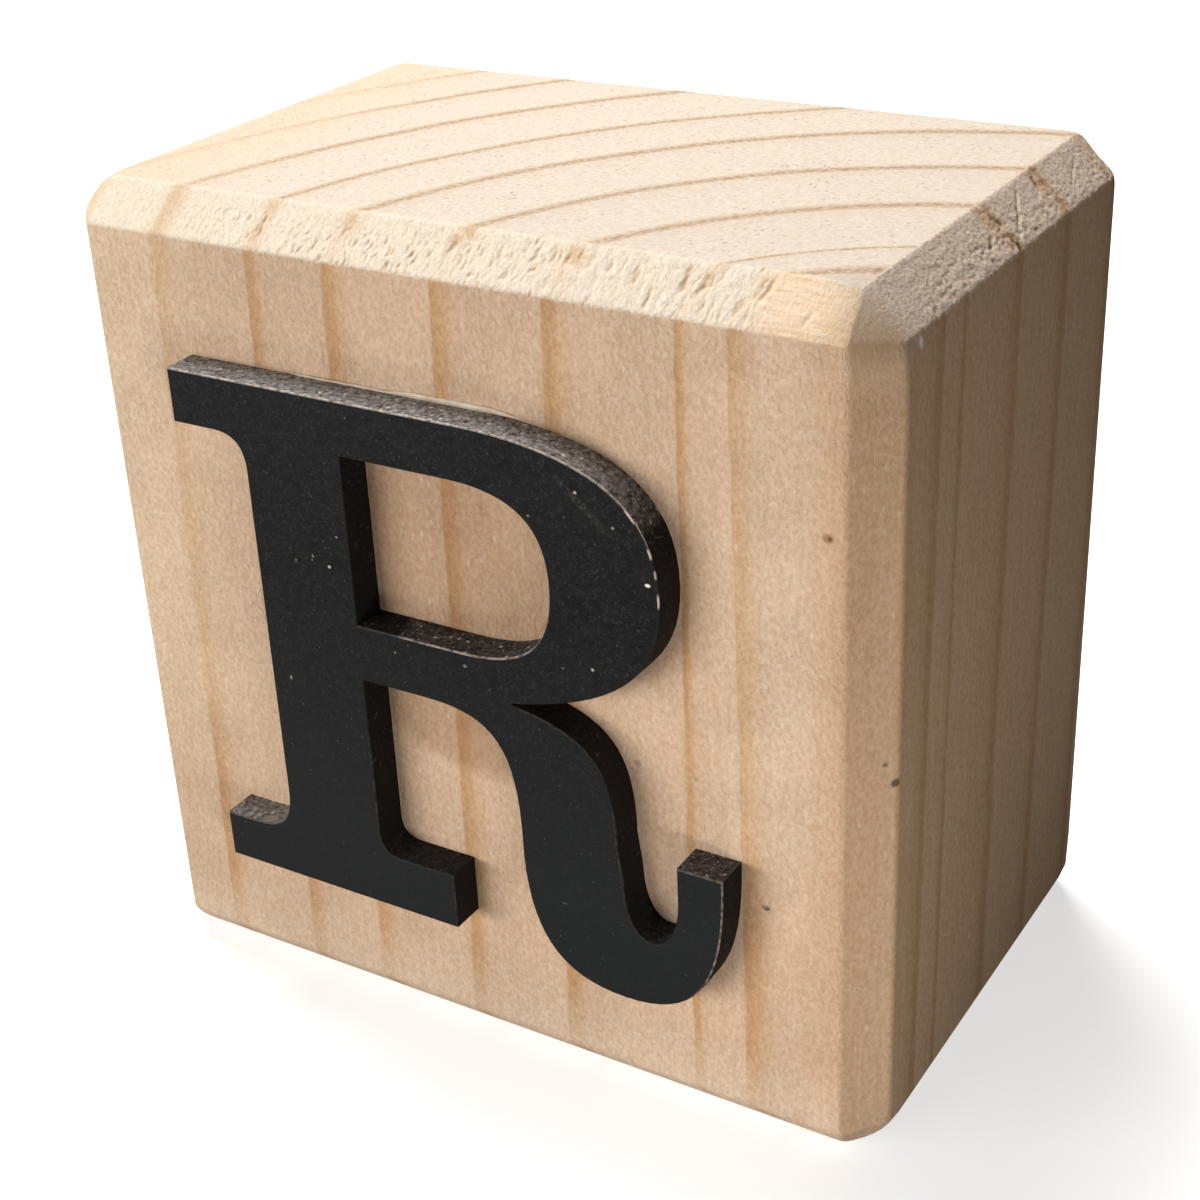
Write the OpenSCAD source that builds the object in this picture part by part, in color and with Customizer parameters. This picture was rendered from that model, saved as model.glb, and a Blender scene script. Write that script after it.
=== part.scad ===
// Wooden letter block: a softwood block with all twelve edges chamfered, and a
// capital R cut from thin painted sheet glued to its front. The origin is the
// middle of the base, +Z is up along the grain and the letter faces -Y.

/* [Block] */
// Width of the block, left to right
block_w = 70; // [60:1:100]
// Thickness of the block, front to back
block_d = 45; // [30:1:70]
// Height of the block, along the grain
block_h = 70; // [60:1:100]
// How far each 45 degree chamfer reaches into a face
chamfer = 3; // [1.5:0.5:5]
// Depth that sanding takes off the tip of each corner
corner_ease = 1; // [0.2:0.1:2]

/* [Letter] */
// Thickness of the sheet that the letter is cut from
letter_t = 3; // [1.5:0.5:8]
// Height of the letter, baseline to the top of its arm
letter_h = 44.2; // [40:0.2:50]
// How far the letter sits right of the middle of the face
letter_dx = 0.4; // [-2:0.1:2]
// How far the letter sits above the middle of the face
letter_dz = -0.1; // [-2:0.1:2]

/* [Stem and serifs] */
// Width of the upright stem
stem_w = 9.1; // [7:0.1:11]
// Reach of the arm beyond the left of the stem
arm_reach = 6.7; // [5:0.1:9]
// Thickness of the arm along the top of the letter
arm_t = 4.4; // [3:0.1:6]
// Size of the curve under the outer end of the arm
arm_bracket = 3; // [1:0.1:5]
// Reach of the foot beyond each side of the stem
foot_reach = 7; // [6:0.1:9]
// Thickness of the foot at its outer end
foot_t = 4.2; // [3:0.1:5.5]
// Size of the curve from the outer end of the foot up the stem
foot_bracket = 4.4; // [1:0.1:6]
// Thickness of the foot at its inner end
inner_foot_t = 5; // [3:0.1:6]
// Size of the curve from the inner end of the foot up the stem
inner_bracket = 2; // [1:0.1:5]

/* [Bowl] */
// Width of the hole inside the bowl
counter_w = 17.7; // [14:0.1:21]
// Width of the bowl's stroke where it is heaviest
bowl_w = 9; // [7:0.1:11]
// Height of the underside of the cross bar above the baseline
bar_z = 21; // [18:0.1:23]
// Thickness of the cross bar under the hole
bar_t = 4.8; // [3:0.1:6]
// Distance from the stem to the notch between the bowl and the leg
notch_x = 13.8; // [11:0.1:16]
// Height of that notch above the underside of the cross bar
notch_rise = 1.5; // [1:0.1:3]

/* [Leg and tail] */
// Gap between the stem and the leg
leg_gap = 13.9; // [11:0.1:16]
// Width of the leg where the tail leaves it
leg_w = 8.9; // [7:0.1:11]
// How much narrower the leg is higher up
leg_flare = 0.4; // [0:0.1:1]
// Width of the slot between the leg and the tail
slot_w = 4.6; // [3:0.1:6]
// Width of the tail's flat end
tail_w = 3.8; // [2.5:0.1:6]
// Height of the tail's flat end above the baseline
tail_rise = 12.2; // [11:0.1:14]
// Thickness of the bend under the slot
bend_t = 6; // [4:0.1:7]
// How far the bend drops below the baseline
tail_drop = 1.3; // [0.5:0.1:3]

/* [Glue] */
// Length of the line of glue squeezed out along the top of the letter
glue_len = 21; // [5:0.5:24]
// Most that the glue rises above the letter
glue_rise = 0.7; // [0.3:0.1:1.5]
// Thickness of the glue on the face of the block
glue_t = 0.3; // [0.2:0.1:1]
// Distance from one crest of the glue's wavy edge to the next
glue_wave = 7; // [3:0.5:12]

/* [Hidden] */

// Straight pieces in each curve of the letter, and in the edge of the glue
steps = 16;
glue_steps = 48;
// Facets of the ball that rounds the corners of the block
ball_fn = 240;
// How far a cutting profile runs past the block
over = 1;

// How far each curve swells towards its corner: 0.55 is a quarter circle, 1 is square
soft = 0.6;
full = 0.7;
tight = 0.77;

// Share of the hole's width over which the arm and the bar stay straight
flat_share = 0.53;
// Share of the gap beside the leg over which the underside of the bar stays straight
under_share = 0.43;
// The outside of the bowl is widest this much above the hole's widest place
bowl_lift = 1;
// Where the bowl and the leg aim as they run in to the notch, above and below it
bowl_tuck = 2.7;
leg_tuck = 1.2;
// Width of the cut at the notch, and bulge of the tail's outside
notch_w = 0.1;
tail_bulge = 0.2;

// Places across the letter, from the outer end of its foot
stem_l = foot_reach;
arm_l = stem_l - arm_reach;
stem_r = stem_l + stem_w;
foot_r = stem_r + foot_reach;
flat_r = stem_r + counter_w * flat_share;
counter_r = stem_r + counter_w;
bowl_r = counter_r + bowl_w;
notch_l = stem_r + notch_x;
leg_l = stem_r + leg_gap;
slot_l = leg_l + leg_w;
slot_r = slot_l + slot_w;
letter_w = slot_r + tail_w;

// Heights in the letter, from its baseline
arm_z = letter_h - arm_t;
bar_top = bar_z + bar_t;
counter_mid = (bar_top + arm_z) / 2;
bowl_mid = counter_mid + bowl_lift;
notch_z = bar_z + notch_rise;
slot_z = bend_t - tail_drop;

// The letter's bounding box is centred on the front face, then shifted
letter_x = -letter_w / 2 + letter_dx;
letter_z = block_h / 2 - (letter_h - tail_drop) / 2 + letter_dz;
front_y = -block_d / 2;

// The points after a on a curve to b that leaves and arrives in line with the corner c
function turn(a, c, b, k) = [
    for (i = [1 : steps])
        let (t = i / steps, u = 1 - t, p = a + k * (c - a), q = b + k * (c - b))
            u * u * u * a + 3 * u * u * t * p + 3 * u * t * t * q + t * t * t * b
];

// Along the top of the arm, round the bowl and in to the notch
function arm_and_bowl() =
    let (a = [flat_r, letter_h], b = [bowl_r, bowl_mid], c = [notch_l, notch_z])
        concat([[arm_l, letter_h], a],
               turn(a, [bowl_r, letter_h], b, full),
               turn(b, [bowl_r, notch_z + bowl_tuck], c, full));

// From the notch down the leg, round the slot and up to the tail's flat end
function leg_and_slot() =
    let (a = [notch_l, notch_z - notch_w], b = [slot_l - leg_flare, tail_rise],
         c = [slot_l, slot_z + slot_w], d = [(slot_l + slot_r) / 2, slot_z],
         e = [slot_r, slot_z + slot_w])
        concat([a], turn(a, [slot_l - leg_flare, notch_z - leg_tuck], b, tight),
               [c], turn(c, [slot_l, slot_z], d, soft),
               turn(d, [slot_r, slot_z], e, soft),
               [[slot_r, tail_rise], [letter_w, tail_rise]]);

// Down the outside of the tail, round the bend and up to the underside of the bar
function tail_and_bend() =
    let (a = [letter_w, tail_rise], b = [(leg_l + letter_w) / 2, -tail_drop],
         c = [leg_l, bar_z / 2], d = [stem_r + leg_gap * under_share, bar_z])
        concat(turn(a, [letter_w + tail_bulge, -tail_drop], b, full),
               turn(b, [leg_l, -tail_drop], c, full),
               turn(c, [leg_l, bar_z], d, tight),
               [[stem_r, bar_z]]);

// Down the stem, along the foot, up the outside and under the end of the arm
function foot_and_stem() =
    let (a = [stem_r, inner_foot_t + inner_bracket], b = [stem_r + inner_bracket, inner_foot_t],
         c = [stem_l - foot_bracket, foot_t], d = [stem_l, foot_t + foot_bracket],
         e = [stem_l, arm_z - arm_bracket], f = [stem_l - arm_bracket, arm_z])
        concat([a], turn(a, [stem_r, inner_foot_t], b, full),
               [[foot_r, inner_foot_t], [foot_r, 0], [0, 0], [0, foot_t]],
               [c], turn(c, [stem_l, foot_t], d, tight),
               [e], turn(e, [stem_l, arm_z], f, full),
               [[arm_l, arm_z]]);

// The hole inside the bowl, with square corners at the stem
function counter_outline() =
    let (a = [flat_r, arm_z], b = [counter_r, counter_mid], c = [flat_r, bar_top])
        concat([[stem_r, bar_top], [stem_r, arm_z], a],
               turn(a, [counter_r, arm_z], b, full),
               turn(b, [counter_r, bar_top], c, full));

// A rectangle centred on the origin, its four corners cut off at 45 degrees
module chamfered_rect(w, h, c) {
    a = w / 2;
    b = h / 2;
    polygon([[-a + c, -b], [a - c, -b], [a, -b + c], [a, b - c],
             [a - c, b], [-a + c, b], [-a, b - c], [-a, -b + c]]);
}

// Stands a profile drawn across and up on the front face of the block
module on_front(thickness) {
    translate([letter_x, front_y, letter_z])
    rotate([90, 0, 0])
    linear_extrude(thickness) children();
}

// Sawn softwood block: three chamfered profiles crossed, inside a ball that eases the corners
module block() {
    corner = [block_w - chamfer, block_d - chamfer, block_h - chamfer] / 2;
    color("burlywood")
    translate([0, 0, block_h / 2])
    intersection() {
        linear_extrude(block_h, center = true)
            chamfered_rect(block_w, block_d, chamfer);
        rotate([90, 0, 0])
            linear_extrude(block_d + over, center = true)
                chamfered_rect(block_w, block_h, chamfer);
        rotate([90, 0, 90])
            linear_extrude(block_w + over, center = true)
                chamfered_rect(block_d, block_h, chamfer);
        sphere(r = norm(corner) - corner_ease, $fn = ball_fn);
    }
}

// Capital letter cut square from thin sheet, its back seated on the front of the block
module letter_r() {
    color("dimgray")
    on_front(letter_t)
    difference() {
        polygon(concat(arm_and_bowl(), leg_and_slot(), tail_and_bend(), foot_and_stem()));
        polygon(counter_outline());
    }
}

// Glue that was squeezed out along the top of the letter and dried on the face
module glue_bead() {
    start = flat_r - glue_len * 0.75;
    edge = [for (i = [0 : glue_steps])
        let (x = glue_len * i / glue_steps, fade = sin(180 * i / glue_steps),
             wave = 0.7 + 0.3 * cos(360 * x / glue_wave))
            [start + x, letter_h + glue_rise * fade * wave]];
    color("wheat")
    on_front(glue_t) polygon(edge);
}

block();
letter_r();
glue_bead();
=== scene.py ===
"""Looks of the wooden letter block: bare softwood, a painted cut-out letter and a line of dried glue.

Lengths in this file are millimetres until a mesh is finished, and then become metres.
"""

import math
from collections import namedtuple

import bmesh
import bpy
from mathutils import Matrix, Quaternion, Vector, noise


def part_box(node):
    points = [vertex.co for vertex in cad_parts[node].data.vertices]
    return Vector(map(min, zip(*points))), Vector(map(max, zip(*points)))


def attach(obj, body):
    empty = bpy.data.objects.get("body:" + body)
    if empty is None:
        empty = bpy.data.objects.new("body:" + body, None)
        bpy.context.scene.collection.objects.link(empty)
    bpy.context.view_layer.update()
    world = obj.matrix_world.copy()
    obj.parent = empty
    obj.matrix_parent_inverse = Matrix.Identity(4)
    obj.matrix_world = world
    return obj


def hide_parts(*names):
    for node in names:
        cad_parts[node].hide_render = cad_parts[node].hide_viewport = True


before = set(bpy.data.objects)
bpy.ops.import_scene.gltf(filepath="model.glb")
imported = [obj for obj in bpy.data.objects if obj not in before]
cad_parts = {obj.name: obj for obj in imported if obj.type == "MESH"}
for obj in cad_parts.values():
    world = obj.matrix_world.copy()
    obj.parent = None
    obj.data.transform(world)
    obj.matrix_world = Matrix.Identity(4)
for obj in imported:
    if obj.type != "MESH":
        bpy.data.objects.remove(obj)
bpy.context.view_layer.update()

# Vector noise takes its seed from the clock if it isn't given one
noise.seed_set(1)

MM = 0.001

# -------------------- sizes

# The block and the letter, as the frame has them
BLOCK_LOW, BLOCK_HIGH = (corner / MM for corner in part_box("block"))
BLOCK_MIDDLE = (BLOCK_LOW + BLOCK_HIGH) / 2
BLOCK_HALF = (BLOCK_HIGH - BLOCK_LOW) / 2
TOP = BLOCK_HIGH.z
FRONT = BLOCK_LOW.y
RIGHT = BLOCK_HIGH.x
LETTER_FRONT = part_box("letter_r")[0].y / MM

CHAMFER = 3.0
ARRIS = 0.25           # softened edge between a face and its chamfer
CROWN = 0.3            # how far the slightly round chamfers swell in their middle
ARRIS_WEAR = 0.12      # softened edge round the front of the letter

# Sanded corners: how far a sharp tip lies from the middle of the block, the depth taken off it,
# and how softly that rounding runs out into the chamfers
CORNER_TIP = (BLOCK_HALF - Vector((CHAMFER, CHAMFER, CHAMFER)) / 2).length
CORNER_EASE = 0.5
CORNER_BLEND = 0.9
# The top right-hand front corner is rubbed rounder, within some way of its middle
RUBBED_CORNER = Vector((RIGHT - 2, FRONT + 2, TOP - 2))
RUBBED_WITHIN = (4.0, 10.0)
RUBBED_EASE = 1.3
RUBBED_BLEND = 2.0
# The same rubbing rounded the arris under the front chamfer: a point on it, the way it faces, the
# depth and blend of the rounding, and where across the block that starts and is full
RUBBED_ARRIS = Vector((RIGHT - 2, FRONT, TOP - CHAMFER))
RUBBED_TURN = Vector((0, -math.cos(math.pi / 8), math.sin(math.pi / 8)))
RUBBED_ARRIS_EASE = 0.3
RUBBED_ARRIS_BLEND = 0.6
RUBBED_ARRIS_RUN = (24.5, 29.0)
# Middle of the wood at that corner painted browner: partly browned by hands, partly painted shade
BROWNED_AND_SHADED = (RIGHT - 1.1, FRONT + 0.9, TOP - 3.1)

# The skin is cut into faces of this size along each axis, and finer near the edges: how far in
# from each face, and how far below the top for the rubbed arris
GRID = (1.5, 1.5, 3.0)
EDGE_CUTS = (CHAMFER + ARRIS + 0.1, CHAMFER - ARRIS - 0.1, 2.1, 1.5, 0.9, ARRIS + 0.05)
ARRIS_CUTS = (4.8, 4.0)

# Growth rings: where the pith ran past the block, how far the rings are flattened front to back,
# and how far out each ring ends
PITH = Vector((40.0, -35.1))
FLAT = 0.92
RINGS = (11.5, 20.3, 23.5, 32.9, 41.6, 50.7, 57.8, 66.7, 74.3, 80.9, 88.0, 96.0)
RING_REACH = 100.0
# How they wander and fray: size of the waves across and along the grain, and their reach
RING_WAVES = ((11, 60, 0.5), (0.9, 14, 0.3), (0.3, 5, 0.35))
# Going down the block the rings lean left, save those near its right-hand side, and forward
LEAN_LEFT = 1.6 / 60
LEAN_FROM, LEAN_FULL = 23.0, 11.0
LEAN_FORWARD = 1.1 / 60

# Faces this near a top chamfer are split, where their edges are longer than this
SPLIT_REACH = 0.6
SPLIT_LENGTH = 0.3
# Torn grain reaches this deep at most, fades out over the end of a chamfer, and turns softly into
# the smooth wood next to it, which stays as it is where it lies this much deeper
TEAR_REACH = 0.9
TEAR_END = 3.0
TEAR_SOFTNESS = 0.004
TEAR_SPARES = 0.4
# Deep tears in the top chamfers: place along, place up the slope from its middle, half width,
# half length, lean of the tear's top along the chamfer, depth
FRONT_GOUGES = ((-15.6, -0.4, 0.16, 0.8, 0.1, 0.1), (-16.6, -1.0, 0.18, 0.5, -0.4, 0.09),
                (1.0, 0.3, 0.2, 0.8, 0.3, 0.1), (9.2, 0.8, 0.14, 0.6, 0.2, 0.12),
                (15.8, 0.3, 0.2, 0.7, 0.1, 0.12), (17.2, -0.9, 0.16, 0.6, 0.1, 0.13),
                (19.5, 0.6, 0.2, 0.9, 0.1, 0.19), (20.8, 0.2, 0.26, 0.7, 0.4, 0.16),
                (24.0, -0.7, 0.3, 0.8, 0.5, 0.1), (25.4, 0.6, 0.18, 1.0, 0.3, 0.16),
                (28.8, -0.8, 0.22, 0.5, 0.4, 0.12))
SIDE_GOUGES = ((2.8, 0.0, 0.2, 1.5, 1.5, 0.14), (1.4, -0.3, 0.14, 0.8, -0.9, 0.1),
               (7.9, 1.0, 0.26, 0.6, 0.1, 0.18), (-3.2, -0.6, 0.3, 0.4, 1.0, 0.14),
               (13.6, -0.2, 0.16, 1.2, 2.0, 0.07))

# Marks on the wood: place, half size across and along the grain, colour. Most are on the front
WOOD_MARKS = [((x, FRONT, z), *rest) for x, z, *rest in (
    (30.8, 53.3, 0.5, 0.42, "#A57B52"), (30.9, 53.3, 0.24, 0.2, "#6F4C30"),
    (26.0, 22.2, 0.45, 0.26, "#8E7863"), (26.1, 22.1, 0.24, 0.14, "#5C4C40"),
    (15.5, 31.7, 0.35, 0.35, "#B09478"), (20.4, 31.7, 0.22, 0.22, "#B29678"),
    (-4.7, 28.1, 0.15, 0.7, "#B8966E"), (3.1, 49.9, 0.16, 0.7, "#A98560"),
    (6.5, 47.0, 0.12, 1.6, "#C9A780"), (3.9, 46.3, 0.35, 0.5, "#BD9C76"))]
WOOD_MARKS += [((34.8, -19.7, 34.0), 0.45, 0.4, "#6E5238"),
               ((34.2, -20.3, 35.6), 0.22, 0.24, "#8A6C50"),
               ((RIGHT, -17.5, 66.0), 0.3, 0.75, "#FFFFFF")]

# Painted shade from the letter on the wood in its bowl and below its bar: middle, half width, half
# height
PAINTED_LETTER_SHADE = (((4.5, FRONT, 46.0), 14.5, 11.5), ((2.0, FRONT, 32.5), 11.0, 6.0))

# Nooks of the letter darkened as painted shade, drawn without dust, pale fibre ends or worn arris:
# middle and radius
PAINTED_SHADE_NOOKS = (((-4.0, LETTER_FRONT, 19.5), 8.0), ((15.8, LETTER_FRONT, 18.5), 6.0),
         ((-7.5, LETTER_FRONT, 38.5), 5.0), ((11.5, LETTER_FRONT, 33.0), 8.0))
# Small flaws in the letter's paint, worn dashes on its arris, and chips on its foot
PAINT_MARKS = [((x, LETTER_FRONT, z), *rest) for x, z, *rest in (
    (18.7, 48.5, 0.24, 0.15, "#F1E7DA"), (-9.2, 43.8, 0.15, 0.14, "#C9BFB2"),
    (-8.2, 46.5, 0.12, 0.1, "#968D84"), (-10.7, 44.4, 0.11, 0.14, "#7F7870"),
    (13.2, 54.4, 0.14, 0.12, "#B9AFA4"), (16.1, 52.3, 0.14, 0.12, "#8E867D"),
    (13.9, 40.7, 0.14, 0.15, "#ADA296"), (-14.4, 32.9, 0.12, 0.2, "#8F867C"),
    (2.7, 38.2, 0.2, 0.14, "#7E776F"), (10.3, 19.3, 0.3, 0.1, "#4A4540"))]
ARRIS_MARKS = [((x, LETTER_FRONT, z), *rest) for x, z, *rest in (
    (17.6, 53.6, 0.6, 0.7, "#D9CCBC"), (18.9, 50.9, 0.4, 0.4, "#D9CCBC"),
    (19.4, 49.4, 0.4, 0.35, "#B3A695"), (19.6, 47.4, 0.4, 0.6, "#C9BBAA"),
    (18.5, 41.6, 0.4, 0.5, "#8E8272"), (22.2, 26.8, 0.5, 0.9, "#B0A496"))]
BOARD_MARKS = [((-20.6, -24.6, 17.7), 0.2, 0.4, "#D6CABC"),
               ((-19.2, -24.9, 17.7), 0.7, 0.3, "#9C928A")]
# A faint scuff across the top right of the bowl: its middle and its slope in degrees
SCUFF = (13.8, LETTER_FRONT, 53.4)
SCUFF_SLOPE = -41

# The glue is a thin string, its height and how far it tapers at each end, with a pool in the
# middle: how much higher that is, and where it starts and is full, from the left and the right
GLUE_STRING = 0.17
GLUE_TAPER = 1.5
POOL_RISE = 0.22
POOL_LEFT = (-5.0, -2.2)
POOL_RIGHT = (6.6, 4.6)

# The camera: where it stands, what it looks at, its tilt in degrees, and its lens
CAMERA_SPOT = (84.08, -135.24, 113.75)
CAMERA_TARGET = (-0.92, -0.58, 31.25)
CAMERA_TILT = -2.78
FOCAL_LENGTH = 63.04


# -------------------- helpers

def share_between(value, low, high):
    """How far value has come from low to high, kept from 0 to 1."""
    return min(1.0, max(0.0, (value - low) / (high - low)))


def paint(code):
    """An sRGB hex colour as the linear colour that the shaders take."""
    levels = [int(code[i:i + 2], 16) / 255 for i in (1, 3, 5)]
    linear = [v / 12.92 if v <= 0.04045 else ((v + 0.055) / 1.055) ** 2.4 for v in levels]
    return (*linear, 1.0)


def add(tree, kind, inputs=None, stops=(), **settings):
    """Adds a node: settings are its properties, each input is a value, a socket or a node, and
    stops are the places from 0 to 1 and the hex colours of a Color Ramp. Inputs 1 to 4 of a Map
    Range are the low and high that it takes and the low and high that it gives."""
    node = tree.nodes.new("ShaderNode" + kind)
    for name, value in settings.items():
        setattr(node, name, value)
    for name, value in (inputs or {}).items():
        if isinstance(value, bpy.types.Node):
            value = value.outputs[0]
        if isinstance(value, bpy.types.NodeSocket):
            tree.links.new(value, node.inputs[name])
        else:
            node.inputs[name].default_value = value
    for i, (place, code) in enumerate(stops):
        elements = node.color_ramp.elements
        element = elements[i] if i < len(elements) else elements.new(1.0)
        element.position = place
        element.color = paint(code)
    return node


def new_material(name):
    """An empty material, its node tree and the place on the object in millimetres."""
    material = bpy.data.materials.new(name)
    material.use_nodes = True
    tree = material.node_tree
    tree.nodes.clear()
    place = add(tree, "TexCoord").outputs["Object"]
    pos = add(tree, "VectorMath", {0: place, "Scale": 1 / MM}, operation="SCALE")
    return material, tree, pos


def specks(tree, place, cell, radius, share):
    """A mask of small uneven specks, their size in the units of place, in a share of the cells."""
    bend = add(tree, "TexNoise", {"Vector": place, "Scale": 1 / radius, "Detail": 0})
    reach = (radius, radius, radius)
    bent = add(tree, "VectorMath", {0: bend.outputs["Color"], 1: reach, 2: place},
               operation="MULTIPLY_ADD")
    spots = add(tree, "TexVoronoi", {"Vector": bent, "Scale": 1 / cell})
    near = add(tree, "MapRange", {0: spots.outputs["Distance"], 1: radius / cell,
                                  2: 0.4 * radius / cell})
    luck = add(tree, "SeparateXYZ", {0: spots.outputs["Color"]})
    lucky = add(tree, "Math", {0: luck, 1: share}, operation="LESS_THAN")
    return add(tree, "Math", {0: near, 1: lucky}, operation="MULTIPLY")


def oval(tree, pos, middle, half_sizes):
    """How far a point lies from a middle: 0 there, and 1 on the oval of these half sizes."""
    offset = add(tree, "VectorMath", {0: pos, 1: middle}, operation="SUBTRACT")
    shape = add(tree, "VectorMath", {0: offset, 1: [1 / half for half in half_sizes]},
                operation="MULTIPLY")
    return add(tree, "VectorMath", {0: shape}, operation="LENGTH").outputs["Value"]


def marks(tree, pos, colour, spots):
    """Lays single soft-edged marks over a colour: place, half width, half height, hex colour."""
    for place, wide, high, code in spots:
        reach = oval(tree, pos, place, (wide, wide, high))
        mask = add(tree, "MapRange", {0: reach, 1: 1.2, 2: 0.5}, interpolation_type="SMOOTHSTEP")
        colour = add(tree, "MixRGB", {0: mask, 1: colour, 2: paint(code)})
    return colour


def away_from(tree, pos, places, least):
    """1 outside all of the places, each a middle and a radius, and least inside them."""
    level = 1.0
    for middle, radius in places:
        distance = add(tree, "VectorMath", {0: pos, 1: middle}, operation="DISTANCE")
        outside = add(tree, "MapRange", {0: distance.outputs["Value"], 1: 0.8 * radius,
                                         2: radius, 3: least, 4: 1.0})
        level = add(tree, "Math", {0: outside, 1: level}, operation="MULTIPLY")
    return level


def surface(tree, colour, roughness, relief, depth, specular=0.5):
    """Ends a material with its colour, its gloss and its relief, whose depth is in millimetres."""
    bump = add(tree, "Bump", {"Height": relief, "Distance": depth * MM, "Strength": 1.0})
    shader = add(tree, "BsdfPrincipled", {"Base Color": colour, "Roughness": roughness,
                                          "Specular IOR Level": specular, "Normal": bump})
    add(tree, "OutputMaterial", {"Surface": shader})


def finish_piece(name, bm, materials, node):
    """Turns a bmesh in millimetres into a finished piece that stands for a node of the frame."""
    bmesh.ops.scale(bm, vec=Vector((MM, MM, MM)), verts=bm.verts)
    mesh = bpy.data.meshes.new(name)
    bm.to_mesh(mesh)
    bm.free()
    for material in materials:
        mesh.materials.append(material)
    piece = bpy.data.objects.new(name, mesh)
    bpy.context.scene.collection.objects.link(piece)
    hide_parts(node)
    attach(piece, "root")
    return piece


# -------------------- the softwood

def growth_rings(tree, pos):
    """The distance from the pith in millimetres, wandering and frayed, and each ring's share of
    its year: 0 where its earlywood starts and 1 where its latewood ends."""
    x, y, z = add(tree, "SeparateXYZ", {0: pos}).outputs
    down = add(tree, "Math", {0: TOP, 1: z}, operation="SUBTRACT")
    lean = add(tree, "MapRange", {0: x, 1: LEAN_FROM, 2: LEAN_FULL, 3: 0.0, 4: LEAN_LEFT})
    lean_x = add(tree, "Math", {0: lean, 1: down, 2: x}, operation="MULTIPLY_ADD")
    lean_y = add(tree, "Math", {0: down, 1: LEAN_FORWARD, 2: y}, operation="MULTIPLY_ADD")
    level = add(tree, "CombineXYZ", {0: lean_x, 1: lean_y})
    radius = oval(tree, level, (*PITH, 0), (1, 1 / FLAT, 1))
    for across, along, reach in RING_WAVES:
        wave_place = add(tree, "Mapping", {0: pos, "Scale": (1 / across, 1 / across, 1 / along)})
        wave = add(tree, "TexNoise", {"Vector": wave_place, "Scale": 1, "Detail": 1})
        centred = add(tree, "Math", {0: wave, 1: 0.5}, operation="SUBTRACT")
        radius = add(tree, "Math", {0: centred, 1: reach, 2: radius}, operation="MULTIPLY_ADD")

    share = add(tree, "Math", {0: radius, 1: RING_REACH}, operation="DIVIDE")
    years = add(tree, "FloatCurve", {"Value": share})
    curve = years.mapping.curves[0]
    for i, edge in enumerate(RINGS):
        spot = curve.points[0] if i == 0 else curve.points.new(edge / RING_REACH, i / len(RINGS))
        spot.location = (edge / RING_REACH, i / len(RINGS))
        spot.handle_type = "VECTOR"
    years.mapping.update()
    count = add(tree, "Math", {0: years, 1: len(RINGS)}, operation="MULTIPLY")
    return radius, add(tree, "Math", {0: count}, operation="FRACT")


def sawn_wood(tree, pos, radius, year, to_right, endness):
    """Wide bands on the faces cut across the rings, only thin lines on the ones cut along them,
    and dark broken lines on whiter end grain."""
    wide = add(tree, "ValToRGB", {0: year}, stops=(
        (0.00, "#E0C2A5"), (0.03, "#E3C6A9"), (0.74, "#E1C3A5"), (0.84, "#DCBA98"),
        (0.89, "#D6AD82"), (0.95, "#D1A677"), (0.985, "#D3A97D"), (1.00, "#DBBB9A")))
    thin = add(tree, "ValToRGB", {0: year}, stops=(
        (0.00, "#D5B897"), (0.04, "#DABE9E"), (0.70, "#D8BB9A"), (0.84, "#D2B38E"),
        (0.91, "#C7A47D"), (0.97, "#C8A681"), (1.00, "#D1B28D")))
    sideways = add(tree, "MapRange", {0: to_right, 1: 0.6, 2: 0.95})
    side = add(tree, "MixRGB", {0: sideways, 1: wide, 2: thin})

    end = add(tree, "ValToRGB", {0: year}, stops=(
        (0.00, "#EFE3D2"), (0.60, "#EDE0D0"), (0.81, "#EAD9C4"), (0.85, "#C8AA88"),
        (0.90, "#BC9A76"), (0.93, "#DDC4A5"), (0.97, "#EBDBC6"), (1.00, "#F0E5D5")))
    broken = add(tree, "TexNoise", {"Vector": pos, "Scale": 1 / 0.4, "Detail": 3})
    gap = add(tree, "MapRange", {0: broken, 1: 0.42, 2: 0.62, 3: 0.0, 4: 0.6})
    end_broken = add(tree, "MixRGB", {0: gap, 1: end, 2: paint("#E9D9C5")})
    sawn = add(tree, "MixRGB", {0: endness, 1: side, 2: end_broken})

    # The wood next to the pith, along the front right-hand edge, is browner
    core = add(tree, "MapRange", {0: radius, 1: 17.0, 2: 14.6})
    return add(tree, "MixRGB", {0: core, 1: sawn, 2: paint("#F3E9DE")}, blend_type="MULTIPLY")


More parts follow.
